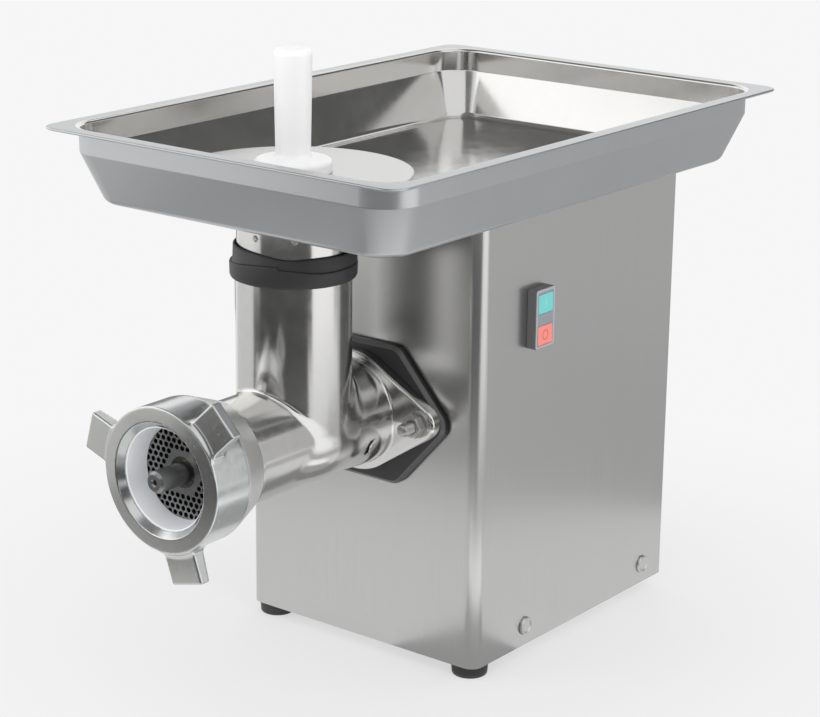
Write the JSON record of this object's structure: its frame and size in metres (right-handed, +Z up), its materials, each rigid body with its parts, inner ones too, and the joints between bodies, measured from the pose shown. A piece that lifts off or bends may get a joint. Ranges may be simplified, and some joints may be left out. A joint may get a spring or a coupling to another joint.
{
  "type": "electric meat grinder",
  "caption": "Stainless electric meat grinder: upright casing on rubber feet, top tray with chute and pusher, horizontal auger head with hole plate and lugged ring nut.",
  "frame": {"origin": "on the floor under the middle of the overall box", "axes": "+Z up, +Y towards the rear cover, +X towards the switch side; the head points to -Y"},
  "size_m": [0.4, 0.67, 0.5865],
  "materials": {
    "brushed_stainless": "satin brushed",
    "tray_stainless": "bright satin",
    "polished_stainless": "polished",
    "steel_fastener": "bright zinc",
    "black_rubber": "matt",
    "white_polymer": "satin",
    "spacer_polymer": "satin",
    "tool_steel": "ground",
    "cast_stainless": "cast satin",
    "bronze": "turned",
    "machined_steel": "machined",
    "cast_aluminium": "as cast",
    "lamination_steel": "dull",
    "copper_winding": "enamelled",
    "painted_steel": "satin paint",
    "black_plastic": "matt",
    "green_button": "translucent gloss",
    "red_button": "translucent gloss"
  },
  "bodies": {
    "housing": {"housing_shell": "brushed_stainless", "housing_top": "brushed_stainless", "rear_cover": "brushed_stainless", "base_plate": "brushed_stainless", "head_body": "polished_stainless", "head_studs": "steel_fastener", "head_washers": "steel_fastener", "head_nuts": "steel_fastener", "rear_cover_screws": "steel_fastener", "side_cap_screws": "steel_fastener", "foot_fasteners": "steel_fastener", "gearbox_cover_screws": "steel_fastener", "rubber_feet": "black_rubber", "head_gasket": "black_rubber", "feed_sleeve": "black_rubber", "oil_seal": "black_rubber", "perforated_plate": "tool_steel", "plate_key_pin": "tool_steel", "plate_bush": "bronze", "output_bearings": "machined_steel", "countershaft_bearings": "machined_steel", "motor_bearings": "machined_steel", "din_rail": "machined_steel", "gearbox_casing": "cast_aluminium", "bearing_bridge": "cast_aluminium", "gearbox_cover": "cast_aluminium", "motor_frame": "cast_aluminium", "motor_end_shield": "cast_aluminium", "run_capacitor": "cast_aluminium", "stator_core": "lamination_steel", "stator_windings": "copper_winding", "fan_cowl": "painted_steel", "motor_cradle": "painted_steel", "terminal_box": "black_plastic", "contactor": "black_plastic", "switch_housing": "black_plastic", "switch_contact_block": "black_plastic", "cable_gland": "black_plastic"},
    "auger_group": {"output_shaft": "machined_steel", "output_gear": "machined_steel", "auger": "cast_stainless", "auger_pin": "tool_steel", "knife": "tool_steel"},
    "countershaft_group": {"countershaft": "machined_steel", "countershaft_pinion": "machined_steel", "countershaft_gear": "machined_steel"},
    "rotor_group": {"motor_shaft": "machined_steel", "motor_pinion": "machined_steel", "rotor_core": "lamination_steel", "cooling_fan": "black_plastic"},
    "nut_carrier": {"spacer_ring": "spacer_polymer"},
    "nut": {"ring_nut": "polished_stainless"},
    "tray": {"tray_pan": "tray_stainless", "feed_chute": "tray_stainless", "chute_rivets": "tray_stainless", "guard_plate": "brushed_stainless", "guard_pillars": "brushed_stainless"},
    "pusher_body": {"pusher": "white_polymer"},
    "start_body": {"start_button": "green_button"},
    "stop_body": {"stop_button": "red_button"}
  },
  "joints": [
    {"name": "auger_spin", "type": "hinge", "parent": "housing", "child": "auger_group", "pos_m": [0, 0, 0.242], "axis": [0, 1, 0], "continuous": true},
    {"name": "countershaft_spin", "type": "hinge", "parent": "housing", "child": "countershaft_group", "pos_m": [0, 0, 0.162], "axis": [0, 1, 0], "continuous": true},
    {"name": "motor_spin", "type": "hinge", "parent": "housing", "child": "rotor_group", "pos_m": [0, 0, 0.242], "axis": [0, 1, 0], "continuous": true},
    {"name": "nut_advance", "type": "slide", "parent": "housing", "child": "nut_carrier", "axis": [0, -1, 0], "range_m": [0, 0.018]},
    {"name": "nut_turn", "type": "hinge", "parent": "nut_carrier", "child": "nut", "pos_m": [0, -0.3, 0.242], "axis": [0, -1, 0], "range_deg": [0, 1080]},
    {"name": "tray_lift", "type": "slide", "parent": "housing", "child": "tray", "axis": [0, 0, 1], "range_m": [0, 0.1]},
    {"name": "pusher_lift", "type": "slide", "parent": "tray", "child": "pusher_body", "axis": [0, 0, 1], "range_m": [0, 0.165]},
    {"name": "start_press", "type": "slide", "parent": "housing", "child": "start_body", "axis": [-1, 0, 0], "range_m": [0, 0.003], "stiffness_N_per_m": 800},
    {"name": "stop_press", "type": "slide", "parent": "housing", "child": "stop_body", "axis": [-1, 0, 0], "range_m": [0, 0.003], "stiffness_N_per_m": 800}
  ],
  "couplings": [
    {"joint": "countershaft_spin", "follows": "auger_spin", "ratio": -2.5556},
    {"joint": "motor_spin", "follows": "auger_spin", "ratio": 7.6667},
    {"joint": "nut_advance", "follows": "nut_turn", "m_per_rad": 0.00095493}
  ]
}
